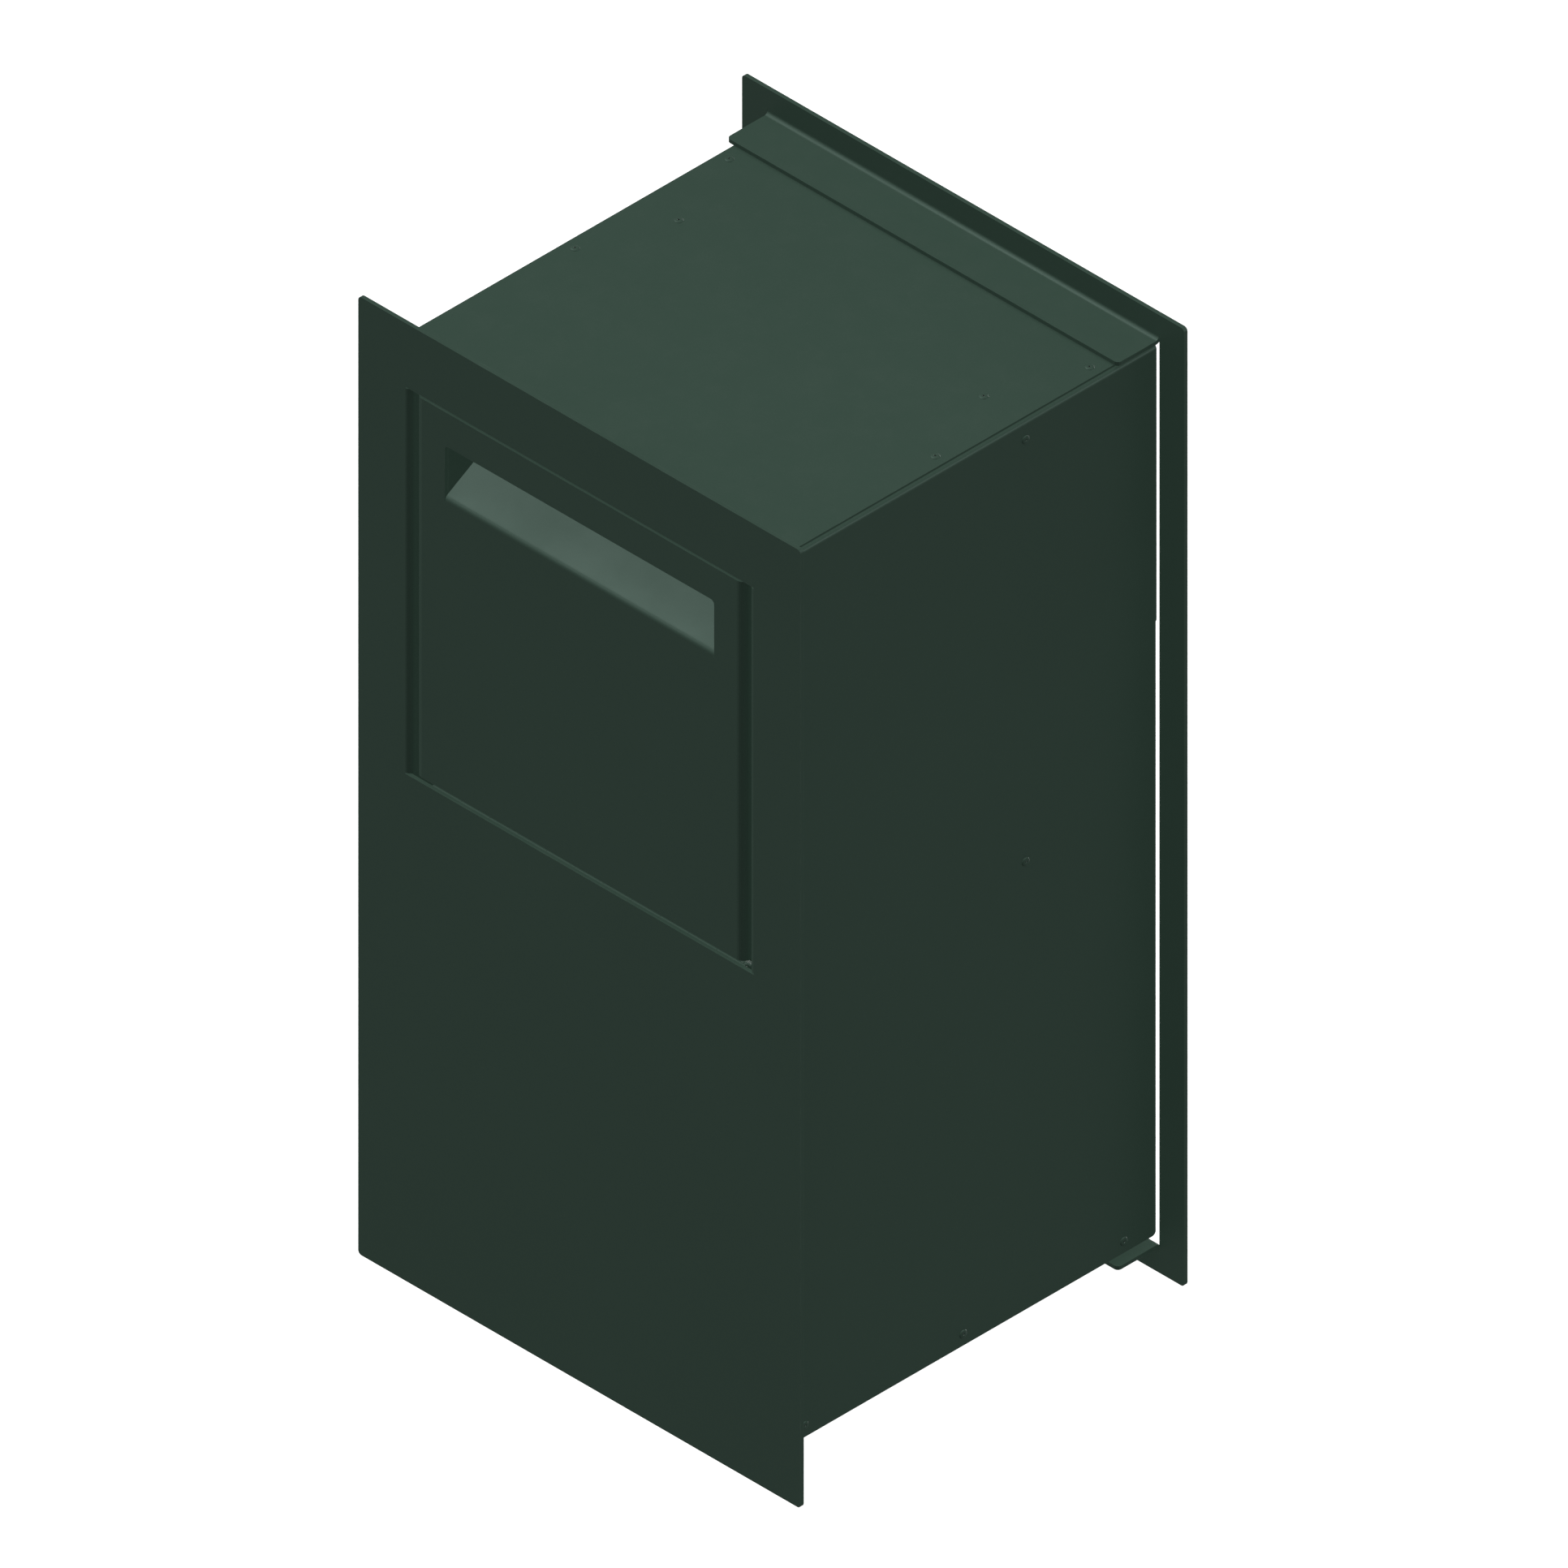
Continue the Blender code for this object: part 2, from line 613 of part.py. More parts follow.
def header_stop_strip():
    """Strip behind the top of the opening that the closed hopper door rests against."""
    half, low, high = HEADER_HALF, HEADER_LOW, HEADER_HIGH
    outline = [(-half, low), (half, low), (half, high), (-half, high)]
    bm = plate(outline, on_xz(PLATE_REAR + GAP), (0, SHEET, 0))
    return piece(bm, "header_stop_strip", "powder_coat")


def tray_stop(side):
    """Bracket on the baffle whose rubber bumper meets the tray at full opening."""
    label = "left" if side < 0 else "right"
    rear = BAFFLE_FRONT - GAP
    under, tip = STOP_UNDER, rear - STOP_REACH
    path = [(rear, under + STOP_HEIGHT), (rear, under), (tip, under)]
    x = side * STOP_X
    bm = bent_sheet(path, [BODY_BEND], -SHEET, on_yz(x - STOP_WIDTH / 2), (STOP_WIDTH, 0, 0))
    piece(bm, "tray_stop_" + label, "powder_coat")
    y = tip + 10
    high = under - GAP
    low = high - BUMPER_HEIGHT
    r = BUMPER_RADIUS
    profile = [(0, high), (r, high), (r, low + 1), (r - 1, low), (0, low)]
    piece(lathe(profile, (x, y, 0), (0, 0, 1), 16), "tray_bumper_" + label, "rubber")


# ---------------------------------------------------------------- rivets

def rivet_places():
    """Name, place on the sheet's outer face, and outward direction of every blind rivet."""
    places = []
    lid = BODY_HIGH + GAP + SHEET
    for side, hand in ((-1, "left"), (1, "right")):
        for row, y in enumerate((-158.2, -16.4, 125.4), 1):
            places.append((f"rivet_top_{hand}_{row}", (side * 165.5, y, lid), (0, 0, 1)))
        places.append((f"rivet_top_{hand}_baffle", (side * 140.1, 53.5, lid), (0, 0, 1)))
        for row, z in (("upper", 722.0), ("lower", 386.3)):
            places.append((f"rivet_{hand}_baffle_{row}", (side * BODY_HALF, 54.2, z), (side, 0, 0)))
        for row, y in enumerate((-148.6, -3.15, 144.4), 1):
            places.append((f"rivet_{hand}_pan_{row}", (side * BODY_HALF, y, 39.2), (side, 0, 0)))
    return places


def rivets():
    """Domed blind rivets with the mandrel's hole in the head and a set tail inside."""
    lift, tail = 0.1, 2.2
    profile = [(0, 0.35), (0.8, 0.35), (0.95, HEAD_HEIGHT), (2.2, 0.72), (3.0, 0.4),
               (HEAD_RADIUS, lift), (SHANK_RADIUS, lift), (SHANK_RADIUS, -GRIP - lift),
               (2.2, -GRIP - lift - 0.4), (1.9, -GRIP - tail), (0, -GRIP - tail)]
    for name, place, axis in rivet_places():
        piece(lathe(profile, place, axis, 12), name, "powder_coat")


def rivet_drills():
    """One cutter holding a drill for every rivet."""
    drills = []
    for _, place, axis in rivet_places():
        start = Vector(place) + Vector(axis) * 2
        drills.append(rod(DRILL_RADIUS, start, start - Vector(axis) * 8, 12, chamfer=0.01))
    cutter = piece(merge(drills), "rivet_drills", "zinc")
    cutter.hide_render = True
    cutter.display_type = "WIRE"
    return cutter


# ---------------------------------------------------------------- rear door, lock and trim

def rear_door_panel(rear_door):
    """Access door skin, flanged forward at the top, foot and lock side."""
    x0 = REAR_PIVOT[0] + KNUCKLE_OUT + GAP
    x1 = TOP_HALF - BODY_BEND
    z0, z1 = REAR_DOOR_LOW + BODY_BEND, REAR_DOOR_HIGH - BODY_BEND
    notch = 2.5
    start = x0 + 30
    outline = [(x0, z0), (start, z0), (x1 - notch, z0), (x1 - notch, z0 + notch),
               (x1, z0 + notch), (x1, z1 - notch), (x1 - notch, z1 - notch), (x1 - notch, z1),
               (start, z1), (x0, z1)]
    y = REAR_DOOR_SKIN
    lock_hole = circle(*LOCK, LOCK_HOLE, 24)
    bm = plate(outline, on_xz(y), (0, SHEET, 0), [lock_hole])
    mid = y + SHEET / 2
    centre_y = y + SHEET - BODY_BEND
    leg = DOOR_LEG
    fold(bm, (x1, mid, (z0 + z1) / 2), (x1, centre_y, 0), (0, 0, 1), -90, leg)
    middle = (start + x1 - notch) / 2
    fold(bm, (middle, mid, z1), (0, centre_y, z1), (1, 0, 0), 90, leg)
    fold(bm, (middle, mid, z0), (0, centre_y, z0), (1, 0, 0), -90, leg)
    return piece(bm, "rear_door_panel", "powder_coat", rear_door)


def cam_lock(rear_door, lock):
    """Cam lock: housing and nut stay with the door; plug, cam and screw turn with the key."""
    x, z = LOCK
    skin = REAR_DOOR_SKIN
    outside = skin + SHEET
    back = Vector((0, 1, 0))
    under, face = outside + 0.2, outside + BEZEL_PROUD
    housing = [(HOUSING_INNER, HOUSING_END), (HOUSING_RADIUS, HOUSING_END),
               (HOUSING_RADIUS, under), (BEZEL_RADIUS, under), (BEZEL_RADIUS, face - 0.7),
               (BEZEL_RADIUS - 0.9, face), (HOUSING_INNER, face)]
    piece(lathe(housing, (x, 0, z), back, 24), "lock_housing", "lock_chrome", rear_door)
    nut_rear = skin - GAP
    hexagon = circle(x, z, NUT_RADIUS, 6)
    bm = plate(hexagon, on_xz(nut_rear), (0, -NUT_THICK, 0), [circle(x, z, LOCK_HOLE, 24)])
    piece(bm, "lock_nut", "zinc", rear_door)

    plug_in, plug_out, r = PLUG_END, face - 0.2, PLUG_RADIUS
    plug = [(0, plug_in), (r, plug_in), (r, plug_out - 0.4), (r - 0.4, plug_out), (0, plug_out)]
    body = piece(lathe(plug, (x, 0, z), back, 24), "lock_plug", "lock_chrome", lock)
    slot = rounded_rectangle(x - 0.55, x + 0.55, z - 3.4, z + 3.4, 0.3, 2)
    key_slot = piece(plate(slot, on_xz(plug_out - 3), (0, 4, 0)), "key_slot_cutter", "zinc", lock)
    key_slot.hide_render = True
    key_slot.display_type = "WIRE"
    subtract(body, key_slot)

    cam_rear = plug_in - GAP
    ends = [math.radians(180 * k / 8) for k in range(9)]
    outline = [(x + CAM_RADIUS * math.cos(a), z + CAM_RADIUS * math.sin(a)) for a in ends]
    outline += [(x - 5, z - CAM_REACH), (x + 5, z - CAM_REACH)]
    bm = plate(outline, on_xz(cam_rear), (0, -CAM_THICK, 0), [circle(x, z, 2.2, 12)])
    piece(bm, "lock_cam", "zinc", lock)
    screw_top = cam_rear - CAM_THICK - GAP
    screw = [(0, screw_top - 2.2), (2.6, screw_top - 2.2), (3.6, screw_top - 1.2),
             (3.6, screw_top), (1.8, screw_top), (1.8, plug_in - 0.1), (0, plug_in - 0.1)]
    piece(lathe(screw, (x, 0, z), back, 12), "lock_cam_screw", "zinc", lock)


def lock_strike():
    """Angle on the right side panel that the turned cam hooks behind."""
    x = BODY_HALF - SHEET - GAP
    path = [(x, STRIKE_REAR - 18), (x, STRIKE_REAR), (STRIKE_EDGE, STRIKE_REAR)]
    foot = LOCK[1] - STRIKE_HEIGHT / 2
    bm = bent_sheet(path, [BODY_BEND], SHEET, on_xy(foot), (0, 0, STRIKE_HEIGHT))
    return piece(bm, "lock_strike", "powder_coat")


def rear_trim_frame(trim):
    """Frame that covers the wall opening inside; its two tabs slide over the body."""
    outer = TRIM_BEND + PLATE
    z0, z1 = TRIM_LOW - outer, TRIM_HIGH + outer
    tab = TRIM_HALF - TAB_RELIEF
    over = 1.5
    h = TRIM_HALF
    opening = [(h, z0 - over), (h, z1 + over), (tab, z1 + over), (tab, z1), (-tab, z1),
               (-tab, z1 + over), (-h, z1 + over), (-h, z0 - over), (-tab, z0 - over),
               (-tab, z0), (tab, z0), (tab, z0 - over)]
    outline = rounded_rectangle(-WIDTH / 2, WIDTH / 2, 0, HEIGHT, CORNER)
    bm = plate(outline, on_xz(TRIM_FRONT), (0, PLATE, 0), [opening])
    mid = TRIM_FRONT + PLATE / 2
    centre_y = TRIM_FRONT - TRIM_BEND
    leg = centre_y - TAB_FRONT
    ends = [fold(bm, (0, mid, z1), (0, centre_y, z1), (1, 0, 0), -90, leg),
            fold(bm, (0, mid, z0), (0, centre_y, z0), (1, 0, 0), 90, leg)]
    corners = [edge for face in ends for edge in face.edges
               if abs(edge.verts[0].co.x - edge.verts[1].co.x) < 1e-3]
    bmesh.ops.bevel(bm, geom=corners, offset=CORNER, segments=3, affect="EDGES", profile=0.5)
    return piece(bm, "rear_trim_frame", "powder_coat", trim)


# ---------------------------------------------------------------- assembly

def build():
    clear_scene()
    hopper = pivot("hopper_pivot", (0, *HOPPER_PIVOT))
    rear_door = pivot("rear_door_pivot", (*REAR_PIVOT, 282.0))
    lock = pivot("lock_pivot", (LOCK[0], REAR_DOOR_SKIN, LOCK[1]), rear_door)
    trim = pivot("trim_slide", (0, REAR, 0))

    front_face_plate()
    hopper_door_panel(hopper)
    hopper_tray(hopper)
    header_stop_strip()
    front_hinge(hopper)
    rear_hinge(rear_door)
    riveted = [top_panel(), bottom_pan(), interior_baffle()]
    for side in (-1, 1):
        slot_end(side, hopper)
        hopper_cheek(side, hopper)
        tray_stop(side)
        riveted.append(side_panel(side))
    upper_back_panel()
    rear_sill()
    drills = rivet_drills()
    for sheet in riveted:
        subtract(sheet, drills)
    rivets()
    rear_door_panel(rear_door)
    cam_lock(rear_door, lock)
    lock_strike()
    rear_trim_frame(trim)


build()
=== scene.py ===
"""Looks of the parcel drop box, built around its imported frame. Metres, +Z up."""

import math

import bmesh
import bpy
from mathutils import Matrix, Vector


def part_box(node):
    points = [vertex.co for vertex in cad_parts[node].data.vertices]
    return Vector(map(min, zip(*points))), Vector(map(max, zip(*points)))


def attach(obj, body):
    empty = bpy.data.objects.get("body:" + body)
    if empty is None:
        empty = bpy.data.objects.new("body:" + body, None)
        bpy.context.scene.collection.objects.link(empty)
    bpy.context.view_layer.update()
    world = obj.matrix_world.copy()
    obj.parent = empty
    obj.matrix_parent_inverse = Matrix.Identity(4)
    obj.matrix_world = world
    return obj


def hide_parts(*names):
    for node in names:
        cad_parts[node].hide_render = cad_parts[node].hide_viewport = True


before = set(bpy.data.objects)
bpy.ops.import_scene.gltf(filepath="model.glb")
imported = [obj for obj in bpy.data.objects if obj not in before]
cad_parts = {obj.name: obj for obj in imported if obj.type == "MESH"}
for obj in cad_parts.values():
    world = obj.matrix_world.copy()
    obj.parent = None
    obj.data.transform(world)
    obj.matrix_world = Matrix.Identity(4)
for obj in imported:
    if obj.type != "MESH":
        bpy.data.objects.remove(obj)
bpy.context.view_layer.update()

MM = 0.001

# Powder coat, as linear colours
GREEN = (0.0222, 0.0416, 0.0308)
GREEN_DEEP = (0.0215, 0.0403, 0.0298)
# Lighter green: the colour of worn coat, and also of the painted highlight laid along edges
GREEN_WORN_AND_EDGE_HIGHLIGHT = (0.075, 0.112, 0.092)
SHEEN_TINT = (0.72, 1.0, 0.89)
DUST = (0.16, 0.17, 0.155)
DUST_SHARE = 0.02
COAT_GLOSS = 0.20

# Studio light: strength, direction it comes from, and spread in degrees. Only the overhead
# light throws a shadow, so the recesses of the front stay as open as in a light tent. The key
# glints to the camera off a face that looks up and 30 degrees to the front. The two fills
# leave rounded corners between the front and the right side a little darker than either. The
# back light comes from behind and below, so it misses the lid.
OVERHEAD = (0.7, (0.10, -0.10, 1.0), 60)
KEY = (2.7, (-0.577, -0.211, 0.788), 30)
FILL_LEFT = (1.38, (-0.40, -0.80, 0.45), 20)
FILL_RIGHT = (2.15, (0.80, 0.40, 0.45), 20)
BACK = (2.4, (-0.25, 1.0, -0.25), 25)
# How bright the tent is to the camera, in reflections, and as plain light
TENT = (1.0, 0.16, 0.06)
# How much of the light the floor gives back to each of the same three
PAPER = (0.92, 0.15, 0.15)
# How far the floor reaches to each side, and how far under the box it lies, in metres
FLOOR_REACH = 30.0
FLOOR_DROP = 0.0005

# Isometric camera, in metres: width of the view, the point looked at, and distances along it
VIEW_DIRECTION = (1, -1, 1)
VIEW_WIDTH = 1.0185
VIEW_TARGET = (0.0051, 0.0051, 0.3862)
CAMERA_DISTANCE = 4.0
CAMERA_REACH = 100.0

# Edge breaks in mm, and the least angles in degrees that count as an edge
COAT_BREAK = 0.25
METAL_BREAK = 0.12
RUBBER_BREAK = 0.4
BREAK_ANGLE = 40
BEND_ANGLE = 32
RIVET_ANGLE = 50


# ---------------------------------------------------------------- node helpers

class Graph:
    """Adds and joins the nodes of one material."""

    def __init__(self, name):
        self.material = bpy.data.materials.new(name)
        self.material.use_nodes = True
        self.tree = self.material.node_tree
        self.shader = self.tree.nodes["Principled BSDF"]
        self.place = self.add("ShaderNodeTexCoord").outputs["Object"]

    def add(self, kind, **settings):
        node = self.tree.nodes.new(kind)
        for key, value in settings.items():
            setattr(node, key, value)
        return node

    def put(self, socket, value):
        """Joins a socket to another, or sets its value."""
        if isinstance(value, bpy.types.NodeSocket):
            self.tree.links.new(value, socket)
        else:
            socket.default_value = value

    def shade(self, **inputs):
        for name, value in inputs.items():
            self.put(self.shader.inputs[name.replace("_", " ")], value)

    def noise(self, scale, detail=2.0, roughness=0.5, stretch=(1, 1, 1), offset=0.0):
        mapping = self.add("ShaderNodeMapping")
        self.put(mapping.inputs["Vector"], self.place)
        mapping.inputs["Scale"].default_value = stretch
        mapping.inputs["Location"].default_value = (offset, offset * 0.7, offset * 1.3)
        made = self.add("ShaderNodeTexNoise")
        self.put(made.inputs["Vector"], mapping.outputs["Vector"])
        made.inputs["Scale"].default_value = scale
        made.inputs["Detail"].default_value = detail
        made.inputs["Roughness"].default_value = roughness
        return made.outputs["Fac"]

    def ramp(self, value, low, high, out_low=0.0, out_high=1.0):
        node = self.add("ShaderNodeMapRange")
        node.interpolation_type = "SMOOTHSTEP"
        self.put(node.inputs["Value"], value)
        for key, number in (("From Min", low), ("From Max", high),
                            ("To Min", out_low), ("To Max", out_high)):
            node.inputs[key].default_value = number
        return node.outputs["Result"]

    def math(self, operation, a, b):
        node = self.add("ShaderNodeMath", operation=operation)
        self.put(node.inputs[0], a)
        self.put(node.inputs[1], b)
        return node.outputs["Value"]

    def mix(self, share, a, b):
        node = self.add("ShaderNodeMix", data_type="RGBA")
        self.put(node.inputs["Factor"], share)
        for socket, value in ((node.inputs[6], a), (node.inputs[7], b)):
            self.put(socket, value if isinstance(value, bpy.types.NodeSocket) else (*value, 1.0))
        return node.outputs[2]

    def bump(self, height, distance, strength=1.0, under=None):
        node = self.add("ShaderNodeBump")
        node.inputs["Distance"].default_value = distance
        node.inputs["Strength"].default_value = strength
        self.put(node.inputs["Height"], height)
        if under is not None:
            self.put(node.inputs["Normal"], under)
        return node.outputs["Normal"]

    def edge(self, radius):
        """0 on flats, towards 1 on outer and inner edges."""
        bevel = self.add("ShaderNodeBevel", samples=4)
        bevel.inputs["Radius"].default_value = radius
        geometry = self.add("ShaderNodeNewGeometry")
        dot = self.add("ShaderNodeVectorMath", operation="DOT_PRODUCT")
        self.put(dot.inputs[0], bevel.outputs["Normal"])
        self.put(dot.inputs[1], geometry.outputs["Normal"])
        return self.ramp(self.math("SUBTRACT", 1.0, dot.outputs["Value"]), 0.02, 0.22)

    def upward(self):
        """0 on walls, towards 1 on faces that look up."""
        geometry = self.add("ShaderNodeNewGeometry")
        split = self.add("ShaderNodeSeparateXYZ")
        self.put(split.inputs[0], geometry.outputs["Normal"])
        return self.ramp(split.outputs["Z"], 0.75, 0.98)


def powder_coat(name, shift, edge_wear_and_highlight=0.3):
    """Dark green satin powder coat: orange peel, fine stipple, lighter edges that are partly worn coat
    and partly a painted highlight, and settled dust.
    """
    g = Graph(name)
    broad = g.ramp(g.noise(5.0, 3.0, 0.6, offset=shift), 0.3, 0.7)
    speck = g.ramp(g.noise(1500.0, 1.0, 0.5, offset=shift + 3), 0.62, 0.78)
    colour = g.mix(broad, GREEN_DEEP, GREEN)
    colour = g.mix(g.math("MULTIPLY", speck, 0.10), colour, GREEN_WORN_AND_EDGE_HIGHLIGHT)
    patches = g.ramp(g.noise(60.0, 4.0, 0.7, offset=shift + 9), 0.38, 0.66)
    # Edges go lighter in random patches: partly worn coat, partly a painted highlight along outer edges
    # and creases
    worn_and_highlit_edges = g.math("MULTIPLY", g.math("MULTIPLY", g.edge(0.0007), patches), edge_wear_and_highlight)
    colour = g.mix(worn_and_highlit_edges, colour, GREEN_WORN_AND_EDGE_HIGHLIGHT)
    settled = g.math("MULTIPLY", g.ramp(g.noise(38.0, 6.0, 0.75, offset=shift + 5), 0.4, 0.8), DUST_SHARE)
    colour = g.mix(g.math("MULTIPLY", settled, g.upward()), colour, DUST)
    smudge = g.ramp(g.noise(9.0, 5.0, 0.65, offset=shift + 7), 0.3, 0.75, 0.48, 0.54)
    peel = g.bump(g.noise(420.0, 2.0, 0.45, offset=shift), 0.00010, 0.30)
    stipple = g.bump(g.noise(1900.0, 1.0, 0.4, offset=shift + 1), 0.00004, 0.25, peel)
    g.shade(Base_Color=colour, Roughness=smudge, Specular_IOR_Level=COAT_GLOSS,
            Specular_Tint=(*SHEEN_TINT, 1.0), Normal=stipple)
    return g.material


def drawn_steel(name, colour, dark, roughness, stretch):
    """Bare steel with a fine grain, drawn out along one axis by stretch, and darker stains."""
    g = Graph(name)
    grain = g.noise(900.0, 3.0, 0.6, stretch=stretch)
    stain = g.ramp(g.noise(45.0, 5.0, 0.7, offset=2.0), 0.45, 0.75)
    tone = g.mix(g.math("MULTIPLY", stain, 0.5), colour, dark)
    tone = g.mix(g.math("MULTIPLY", g.ramp(grain, 0.35, 0.75), 0.35), tone, dark)
    rough = g.ramp(grain, 0.3, 0.7, roughness - 0.08, roughness + 0.10)
    g.shade(Base_Color=tone, Metallic=1.0, Roughness=rough,
            Normal=g.bump(grain, 0.00003, 0.35))
    return g.material


def plated(name, colour, dark, roughness, cloud):
    """Plated metal: faint clouding, fine scratches and tarnish gathered at the edges."""
    g = Graph(name)
    clouds = g.ramp(g.noise(cloud, 4.0, 0.6), 0.35, 0.7)
    scratch = g.ramp(g.noise(700.0, 2.0, 0.5, stretch=(1, 0.05, 1), offset=4.0), 0.55, 0.75)
    tone = g.mix(g.math("MULTIPLY", clouds, 0.45), colour, dark)
    tone = g.mix(g.math("MULTIPLY", g.edge(0.0004), 0.4), tone, dark)
    rough = g.math("ADD", g.math("MULTIPLY", scratch, 0.18), roughness)
    g.shade(Base_Color=tone, Metallic=1.0, Roughness=rough, Normal=g.bump(scratch, 0.00002, 0.2))
    return g.material


def moulded_rubber(name):
    """Matt black rubber with a fine grain and a pale bloom in patches."""
    g = Graph(name)
    grain = g.noise(1300.0, 3.0, 0.6)
    bloom = g.ramp(g.noise(120.0, 4.0, 0.7, offset=3.0), 0.45, 0.8)
    colour = g.mix(g.math("MULTIPLY", bloom, 0.4), (0.012, 0.012, 0.012), (0.045, 0.045, 0.043))
    g.shade(Base_Color=colour, Roughness=g.ramp(grain, 0.3, 0.7, 0.7, 0.88),
            Specular_IOR_Level=0.25, Normal=g.bump(grain, 0.00008, 0.5))
    return g.material


def by_ray(tree, camera, glossy, plain):
    """A value that differs for what the camera sees, for reflections and for other rays."""
    path = tree.nodes.new("ShaderNodeLightPath")
    value = plain
    for ray, number in (("Is Glossy Ray", glossy), ("Is Camera Ray", camera)):
        node = tree.nodes.new("ShaderNodeMapRange")
        tree.links.new(path.outputs[ray], node.inputs["Value"])
        node.inputs["To Max"].default_value = number
        if isinstance(value, bpy.types.NodeSocket):
            tree.links.new(value, node.inputs["To Min"])
        else:
            node.inputs["To Min"].default_value = value
        value = node.outputs["Result"]
    return value


def pale_floor(name):
    """Plain matt studio paper, clear from below, that lights the box less than it shows."""
    g = Graph(name)
    mottle = g.ramp(g.noise(3.0, 4.0, 0.6), 0.3, 0.7, 0.96, 1.0)
    tone = g.math("MULTIPLY", by_ray(g.tree, *PAPER), mottle)
    g.shade(Base_Color=tone, Roughness=0.9, Specular_IOR_Level=0.0)
    below = g.add("ShaderNodeNewGeometry").outputs["Backfacing"]
    sides = g.add("ShaderNodeMixShader")
    g.put(sides.inputs["Fac"], below)
    g.put(sides.inputs[1], g.shader.outputs["BSDF"])
    g.put(sides.inputs[2], g.add("ShaderNodeBsdfTransparent").outputs["BSDF"])
    g.put(g.tree.nodes["Material Output"].inputs["Surface"], sides.outputs["Shader"])
    return g.material


# ---------------------------------------------------------------- frame pieces

# Each metal's colour, and the darker one of its stains or clouding; the mandrel's end is made near black
# as painted shade
STEEL = ((0.30, 0.31, 0.30), (0.13, 0.135, 0.13))
ZINC = ((0.46, 0.46, 0.43), (0.24, 0.24, 0.22))
CHROME = ((0.62, 0.62, 0.63), (0.30, 0.30, 0.31))
DULL_CHROME = ((0.55, 0.55, 0.56), (0.25, 0.25, 0.26))
# Near black: painted shade for the hollow at the middle of each rivet head, given to the steel of the
# mandrel's broken end
MANDREL_PAINTED_SHADE = ((0.03, 0.03, 0.03), (0.008, 0.008, 0.008))

# Powder coated: everything but the hinge pins, the rubber and the lock, though its strike is.
# The rivets are coated too, but they are made anew below.
COATED = [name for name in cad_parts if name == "lock_strike"
          or not name.startswith(("rivet_", "lock_", "tray_bumper")) and "hinge_pin" not in name]


def dress(obj, material):
    """Replaces every material on a frame piece."""
    obj.data.materials.clear()
    obj.data.materials.append(material)


def soften(obj, width):
    """Rounds the sharp edges of a frame piece a little; width is in mm."""
    bevel = obj.modifiers.new("edge_break", "BEVEL")
    bevel.width = width * MM
    bevel.segments = 2
    bevel.limit_method = "ANGLE"
    bevel.angle_limit = math.radians(BREAK_ANGLE)
    bevel.use_clamp_overlap = True
    bevel.harden_normals = True


def smooth_bends(obj):
    """Shades folds and round walls smooth up to the cut edges."""
    obj.data.shade_smooth()
    obj.data.set_sharp_from_angle(angle=math.radians(BEND_ANGLE))


def dress_frame():
    """Gives every kept frame piece its finish; the rivets are replaced afterwards."""
    for index, name in enumerate(sorted(COATED)):
        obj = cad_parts[name]
        smooth_bends(obj)
        dress(obj, powder_coat("coat_" + name, shift=index * 1.7))
        soften(obj, COAT_BREAK)
    finishes = {
        "front_hinge_pin": drawn_steel("pin_steel_across", *STEEL, 0.38, (0.04, 1, 1)),
        "rear_hinge_pin": drawn_steel("pin_steel_upright", *STEEL, 0.38, (1, 1, 0.04)),
        "lock_plug": plated("lock_chrome", *CHROME, 0.16, 60.0),
        "lock_housing": plated("lock_collar", *DULL_CHROME, 0.20, 60.0),
        "lock_cam": plated("zinc_plate", *ZINC, 0.38, 90.0),
        "lock_nut": plated("zinc_nut", *ZINC, 0.36, 110.0),
        "tray_bumper": moulded_rubber("bumper_rubber"),
    }
    for name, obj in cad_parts.items():
        if name in COATED:
            continue
        for start, material in finishes.items():
            if name.startswith(start):
                smooth_bends(obj)
                dress(obj, material)
                soften(obj, RUBBER_BREAK if start == "tray_bumper" else METAL_BREAK)


# ---------------------------------------------------------------- rivets

# Sizes in mm; heights are from the outer face of the sheet
RIVET_SEGMENTS = 40
HEAD_RADIUS = 3.3
HEAD_PROUD = 0.9
HEAD_EDGE = 0.10
LIP_RADIUS = 1.0
DOME_STEPS = 9
DOME_FULLNESS = 0.8
# (radius, height) of the mandrel's broken end in the middle of the head, of the lip around
# it, and of the shank with the bulge that the mandrel has pulled up behind the sheets
MANDREL = [(0.0, 0.30), (0.40, 0.36), (0.70, 0.26), (0.78, 0.12), (0.80, 0.30)]
LIP = [(0.84, HEAD_PROUD - 0.08), (0.90, HEAD_PROUD - 0.02), (LIP_RADIUS, HEAD_PROUD)]
SHANK = [(1.5, HEAD_EDGE), (1.5, -3.3), (1.9, -3.45), (2.2, -3.9), (2.15, -4.8), (1.7, -5.5),
         (0.9, -5.8), (0.0, -5.85)]


def rivet_profile():
    """(radius, height) in mm from the mandrel's broken end over the dome and down the shank."""
    points = MANDREL + LIP
    for k in range(1, DOME_STEPS + 1):
        turn = math.pi / 2 * k / DOME_STEPS
        radius = LIP_RADIUS + (HEAD_RADIUS - LIP_RADIUS) * math.sin(turn)
        height = HEAD_EDGE + (HEAD_PROUD - HEAD_EDGE) * math.cos(turn) ** DOME_FULLNESS
        points.append((radius, height))
    return points + SHANK


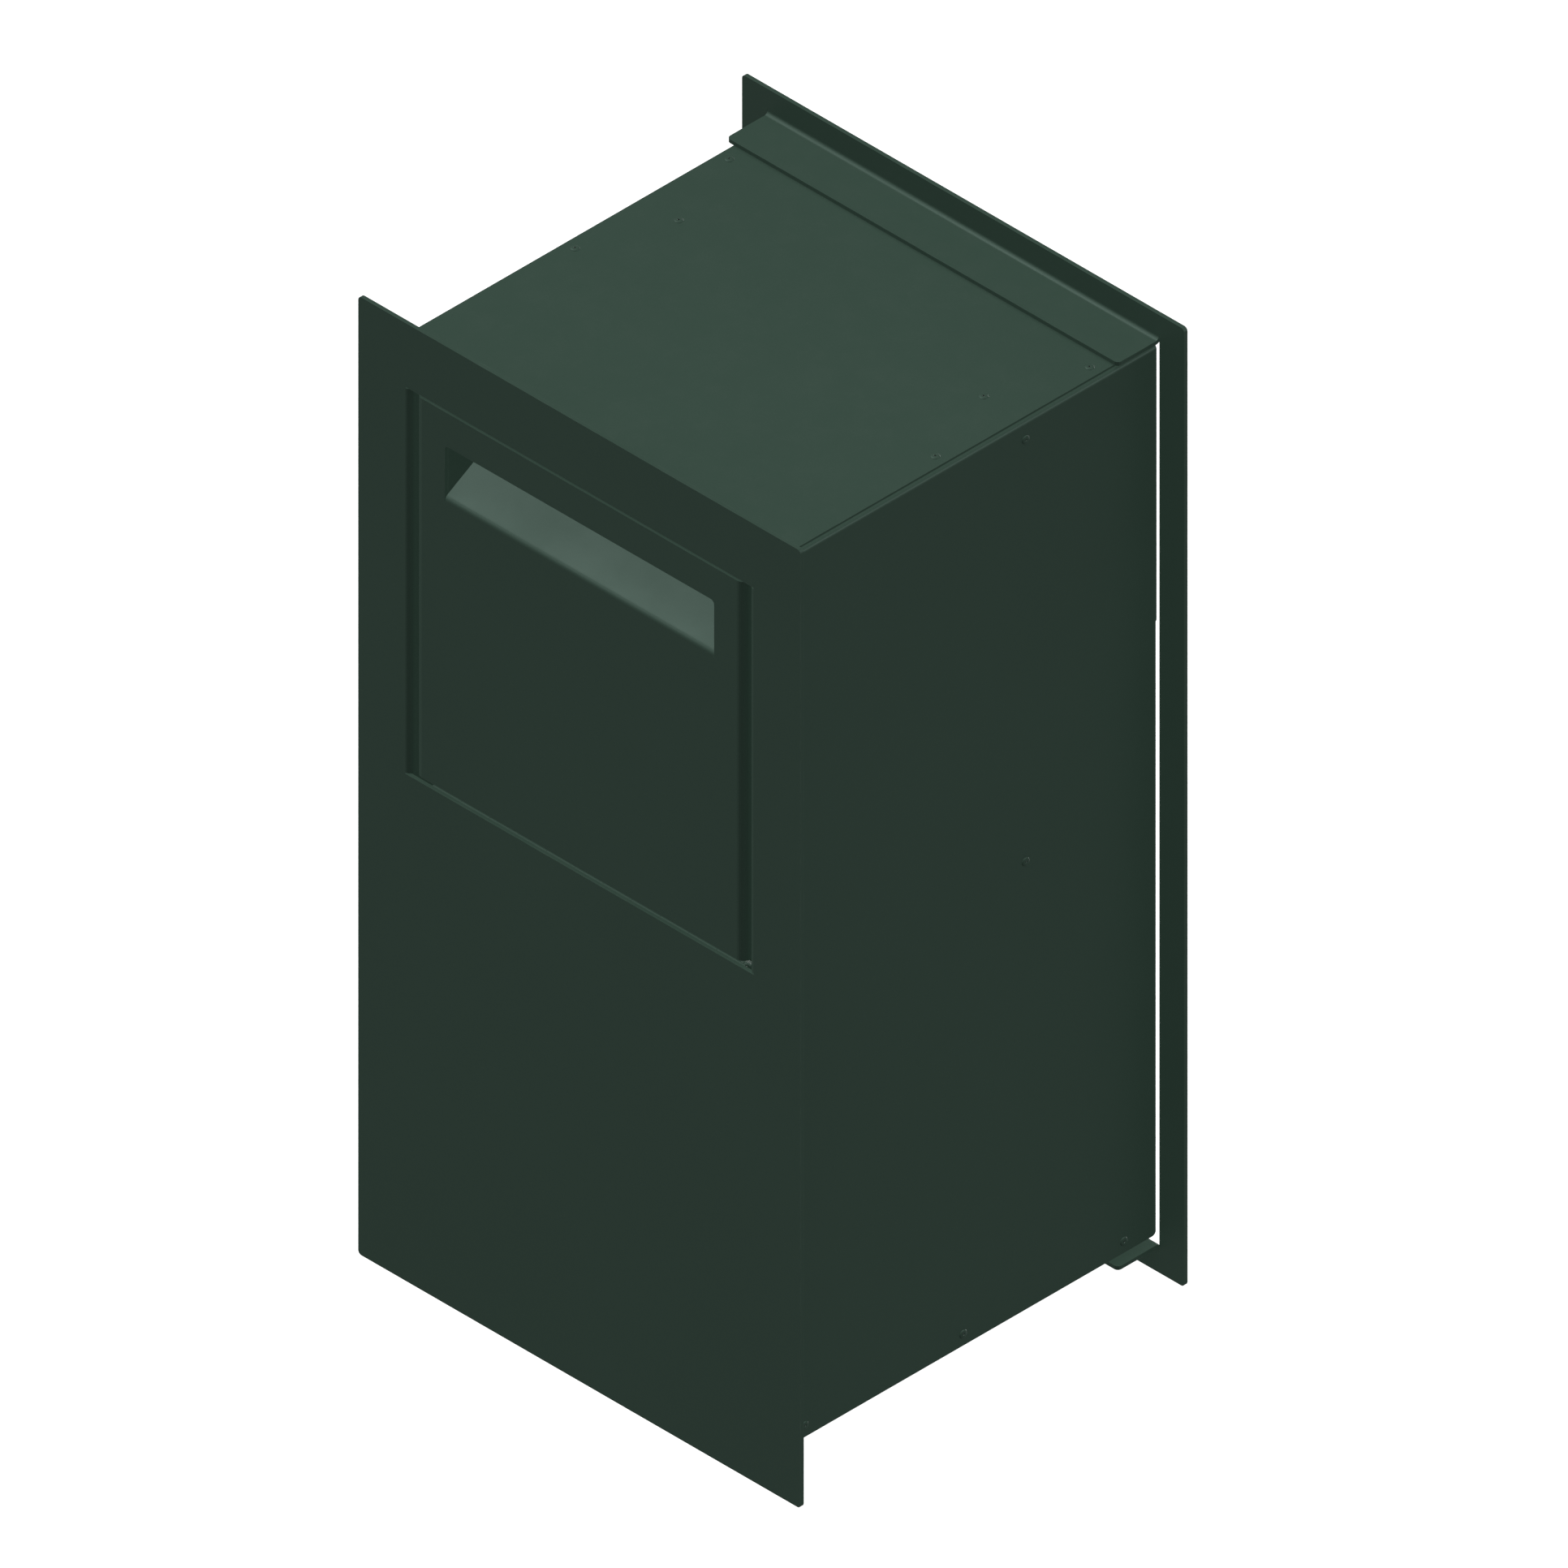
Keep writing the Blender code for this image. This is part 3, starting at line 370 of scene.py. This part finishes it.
def turned(name, profile, middle, axis, materials):
    """A solid of revolution about an axis; the mandrel's faces take the second material."""
    side = axis.orthogonal().normalized()
    other = axis.cross(side)
    bm = bmesh.new()
    rings = []
    for radius, height in profile:
        centre = middle + axis * (height * MM)
        if radius == 0:
            rings.append([bm.verts.new(centre)])
            continue
        ring = []
        for k in range(RIVET_SEGMENTS):
            a = 2 * math.pi * k / RIVET_SEGMENTS
            ring.append(bm.verts.new(centre + (side * math.cos(a) + other * math.sin(a)) * radius * MM))
        rings.append(ring)
    for row, (low, high) in enumerate(zip(rings, rings[1:])):
        for k in range(RIVET_SEGMENTS):
            after = (k + 1) % RIVET_SEGMENTS
            corners = [low[k % len(low)], low[after % len(low)],
                       high[after % len(high)], high[k % len(high)]]
            face = bm.faces.new(list(dict.fromkeys(corners)))
            face.material_index = int(row < len(MANDREL) - 1)
    bmesh.ops.recalc_face_normals(bm, faces=bm.faces)
    mesh = bpy.data.meshes.new(name)
    bm.to_mesh(mesh)
    bm.free()
    mesh.shade_smooth()
    mesh.set_sharp_from_angle(angle=math.radians(RIVET_ANGLE))
    obj = bpy.data.objects.new(name, mesh)
    for material in materials:
        mesh.materials.append(material)
    bpy.context.collection.objects.link(obj)
    return obj


def rivet_seat(node):
    """Outward direction of a rivet, and how far along it the outer face of its sheet lies."""
    if node.startswith("rivet_top"):
        axis, sheet = Vector((0, 0, 1)), "top_panel"
    elif node.startswith("rivet_left"):
        axis, sheet = Vector((-1, 0, 0)), "left_side_panel"
    else:
        axis, sheet = Vector((1, 0, 0)), "right_side_panel"
    return axis, max(Vector(corner).dot(axis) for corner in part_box(sheet))


def build_rivets():
    """Finely turned blind rivets in place of the frame's plainer ones."""
    # The rivet heads get less edge lightening, which is worn coat and painted highlight in one
    coat = powder_coat("coat_rivet", shift=41.0, edge_wear_and_highlight=0.2)
    # The mandrel's end is painted near black, as shade in the hollow of each rivet head
    mandrel = drawn_steel("mandrel_painted_shade", *MANDREL_PAINTED_SHADE, 0.6, (1, 1, 1))
    profile = rivet_profile()
    for node in sorted(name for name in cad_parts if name.startswith("rivet_")):
        low, high = (Vector(corner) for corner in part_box(node))
        axis, face = rivet_seat(node)
        centre = (low + high) / 2
        middle = centre + axis * (face - centre.dot(axis))
        head = turned("visual_" + node, profile, middle, axis, (coat, mandrel))
        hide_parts(node)
        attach(head, "box")


# ---------------------------------------------------------------- studio

def soft_sun(name, strength, toward, spread, shadow):
    """A broad light from far away, shining from the given direction."""
    light = bpy.data.lights.new(name, "SUN")
    light.energy = strength
    light.angle = math.radians(spread)
    light.use_shadow = shadow
    lamp = bpy.data.objects.new(name, light)
    lamp.rotation_euler = Vector(toward).to_track_quat("Z", "Y").to_euler()
    bpy.context.collection.objects.link(lamp)


def studio():
    """Pale floor, five broad lights in a plain white tent, and the isometric camera."""
    floor_mesh = bpy.data.meshes.new("studio_floor")
    corners = [(x * FLOOR_REACH, y * FLOOR_REACH, 0) for x, y in ((-1, -1), (1, -1), (1, 1), (-1, 1))]
    floor_mesh.from_pydata(corners, [], [(0, 1, 2, 3)])
    floor = bpy.data.objects.new("studio_floor", floor_mesh)
    floor.location.z = -FLOOR_DROP
    floor_mesh.materials.append(pale_floor("studio_paper"))
    bpy.context.collection.objects.link(floor)

    soft_sun("overhead", *OVERHEAD, shadow=True)
    soft_sun("key", *KEY, shadow=False)
    soft_sun("fill_left", *FILL_LEFT, shadow=False)
    soft_sun("fill_right", *FILL_RIGHT, shadow=False)
    soft_sun("back", *BACK, shadow=False)

    world = bpy.data.worlds.new("studio")
    world.use_nodes = True
    tree = world.node_tree
    background = tree.nodes["Background"]
    background.inputs["Color"].default_value = (1.0, 1.0, 1.0, 1.0)
    tree.links.new(by_ray(tree, *TENT), background.inputs["Strength"])
    bpy.context.scene.world = world
    bpy.context.scene.view_settings.view_transform = "Standard"

    camera = bpy.data.cameras.new("camera")
    camera.type = "ORTHO"
    camera.ortho_scale = VIEW_WIDTH
    camera.clip_end = CAMERA_REACH
    eye = bpy.data.objects.new("camera", camera)
    toward = Vector(VIEW_DIRECTION).normalized()
    eye.location = Vector(VIEW_TARGET) + toward * CAMERA_DISTANCE
    eye.rotation_euler = toward.to_track_quat("Z", "Y").to_euler()
    bpy.context.collection.objects.link(eye)
    bpy.context.scene.camera = eye


dress_frame()
build_rivets()
studio()
